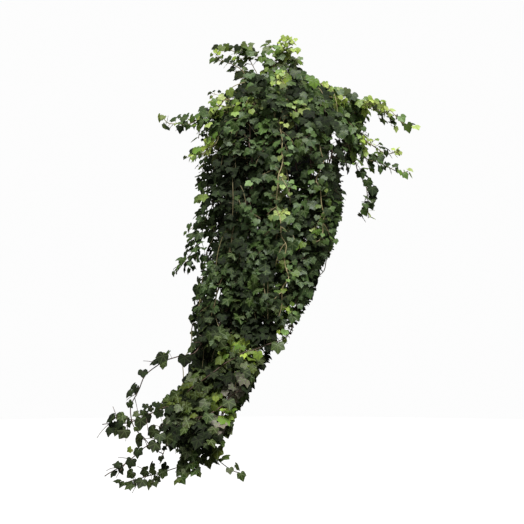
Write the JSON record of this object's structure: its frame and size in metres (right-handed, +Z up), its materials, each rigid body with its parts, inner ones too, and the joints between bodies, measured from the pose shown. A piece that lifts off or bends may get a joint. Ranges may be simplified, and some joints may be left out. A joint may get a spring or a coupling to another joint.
{
  "type": "potted ivy",
  "caption": "Hanging pot of trailing ivy: a round plastic pot on a three-wire hanger with a hook, filled with soil and leafy stems that arch over the rim and hang far below it.",
  "frame": {"origin": "inside top of the hook, the point that bears on whatever the pot hangs from", "axes": "+Z up, against the way the stems hang; +X to the right and +Y to the back, as seen from the front"},
  "size_m": [0.9263, 0.6494, 1.3923],
  "materials": {
    "pot_plastic": "moulded dark green-black plastic, slightly satin",
    "hanger_steel": "dark coated steel wire",
    "potting_soil": "damp, crumbly potting mix",
    "leaf_old": "dark, leathery ivy leaves with a soft waxy sheen and paler veins",
    "leaf_full": "mid-green ivy leaves with a soft waxy sheen and paler veins",
    "leaf_young": "fresh yellow-green young ivy leaves"
  },
  "bodies": {
    "root": {"hanger_hook": "hanger_steel", "pot": "pot_plastic", "potting_soil": "potting_soil", "hanger_wire_1": "hanger_steel", "hanger_wire_2": "hanger_steel", "hanger_wire_3": "hanger_steel", "trailing_stem_left_arc": "leaf_old", "trailing_stem_left_low": "leaf_old", "trailing_stem_cross_high": "leaf_full", "trailing_stem_cross_low": "leaf_full", "trailing_stem_bottom_left": "leaf_old", "trailing_stem_bottom_front": "leaf_old", "bright_stem_front": "leaf_young", "bright_stem_right_front": "leaf_young", "arm_left": "leaf_young", "shoot_left_bright": "leaf_young", "drip_left": "leaf_old", "shoulder_left": "leaf_full", "shoulder_left_front": "leaf_young", "shoulder_right": "leaf_young", "arm_right_high": "leaf_young", "arm_right_middle": "leaf_full", "arm_right_low": "leaf_full", "drip_right": "leaf_full", "shoulder_right_front": "leaf_young", "shoulder_right_back": "leaf_full", "crown_peak": "leaf_young", "crown_peak_back": "leaf_full", "crown_left_high": "leaf_full", "crown_left_back": "leaf_young", "crown_left": "leaf_full", "crown_left_front": "leaf_full", "crown_front": "leaf_young", "crown_front_right": "leaf_young", "crown_middle": "leaf_full", "crown_right": "leaf_young", "crown_right_back": "leaf_full", "crown_back": "leaf_full", "curtain_stem_01": "leaf_old", "curtain_stem_02": "leaf_old", "curtain_stem_03": "leaf_old", "curtain_stem_04": "leaf_old", "curtain_stem_05": "leaf_old", "curtain_stem_06": "leaf_old", "curtain_stem_07": "leaf_old", "curtain_stem_08": "leaf_old", "curtain_stem_09": "leaf_full", "curtain_stem_10": "leaf_full", "curtain_stem_11": "leaf_full", "curtain_stem_12": "leaf_full", "curtain_stem_13": "leaf_full", "curtain_stem_14": "leaf_full", "curtain_stem_15": "leaf_old", "curtain_stem_16": "leaf_old", "curtain_stem_17": "leaf_old", "curtain_stem_18": "leaf_old", "curtain_stem_19": "leaf_old", "curtain_stem_20": "leaf_old"}
  },
  "joints": []
}
